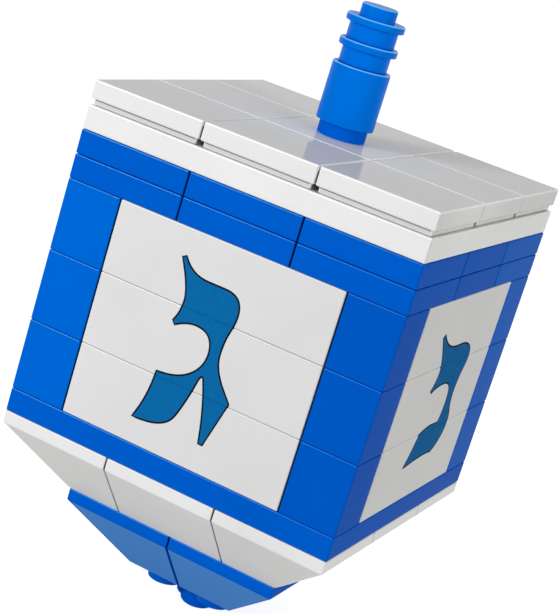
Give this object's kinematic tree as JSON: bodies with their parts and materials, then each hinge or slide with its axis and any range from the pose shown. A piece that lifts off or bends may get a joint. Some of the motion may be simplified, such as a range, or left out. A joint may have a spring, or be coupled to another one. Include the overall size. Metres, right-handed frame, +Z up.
{
  "type": "dreidel",
  "caption": "Four-sided spinning top of interlocking bricks: round stem on a flat tiled lid, square sides with flush panels, and a stepped sloping point with a blunt tip.",
  "frame": {"origin": "the end of the tip, on the spin axis, where the dreidel meets the table", "axes": "+Z up along the spin axis to the stem; the front panel faces -Y and +X is to the right of it"},
  "size_m": [0.0478, 0.0478, 0.0865],
  "materials": {
    "blue_abs": "gloss",
    "white_abs": "gloss",
    "grey_abs": "satin"
  },
  "bodies": {
    "body": {"tip": "blue_abs", "blue_slope_front_left": "blue_abs", "blue_slope_front_right": "blue_abs", "blue_slope_back_right": "blue_abs", "blue_slope_back_left": "blue_abs", "base_plate": "blue_abs", "corner_bricks_low": "blue_abs", "corner_bricks_mid": "blue_abs", "corner_bricks_high": "blue_abs", "lower_plate_middle": "blue_abs", "lower_plate_front": "blue_abs", "lower_plate_back": "blue_abs", "lower_plate_front_left": "blue_abs", "lower_plate_front_right": "blue_abs", "lower_plate_back_right": "blue_abs", "lower_plate_back_left": "blue_abs", "upper_plate_middle": "blue_abs", "upper_plate_right": "blue_abs", "upper_plate_left": "blue_abs", "upper_plate_front_left": "blue_abs", "upper_plate_front_right": "blue_abs", "upper_plate_back_right": "blue_abs", "upper_plate_back_left": "blue_abs", "white_slope_front_left": "white_abs", "white_slope_front_right": "white_abs", "white_slope_back_right": "white_abs", "white_slope_back_left": "white_abs", "white_slope_front": "white_abs", "white_slope_right": "white_abs", "white_slope_back": "white_abs", "white_slope_left": "white_abs", "core_brick": "white_abs", "panel_brick_front_low": "white_abs", "panel_brick_front_mid": "white_abs", "panel_brick_front_high": "white_abs", "panel_brick_right_low": "white_abs", "panel_brick_right_mid": "white_abs", "panel_brick_right_high": "white_abs", "panel_brick_back_low": "white_abs", "panel_brick_back_mid": "white_abs", "panel_brick_back_high": "white_abs", "panel_brick_left_low": "white_abs", "panel_brick_left_mid": "white_abs", "panel_brick_left_high": "white_abs", "lid_plate": "white_abs", "tile_front": "white_abs", "tile_right": "white_abs", "tile_back": "white_abs", "tile_left": "white_abs", "tile_front_left": "white_abs", "tile_front_right": "white_abs", "tile_back_right": "white_abs", "tile_back_left": "white_abs", "jumper_plate": "white_abs", "connector_pegs": "grey_abs"},
    "stem_barrel": {"stem_round_brick": "blue_abs"},
    "stem_ring_lower": {"stem_round_plate_lower": "blue_abs"},
    "stem_ring_upper": {"stem_round_plate_upper": "blue_abs"}
  },
  "joints": [
    {"name": "stem_barrel_turn", "type": "hinge", "parent": "body", "child": "stem_barrel", "pos_m": [0, 0, 0.0688], "axis": [0, 0, 1], "continuous": true},
    {"name": "stem_ring_lower_turn", "type": "hinge", "parent": "stem_barrel", "child": "stem_ring_lower", "pos_m": [0, 0, 0.0784], "axis": [0, 0, 1], "continuous": true},
    {"name": "stem_ring_upper_turn", "type": "hinge", "parent": "stem_ring_lower", "child": "stem_ring_upper", "pos_m": [0, 0, 0.0816], "axis": [0, 0, 1], "continuous": true}
  ]
}
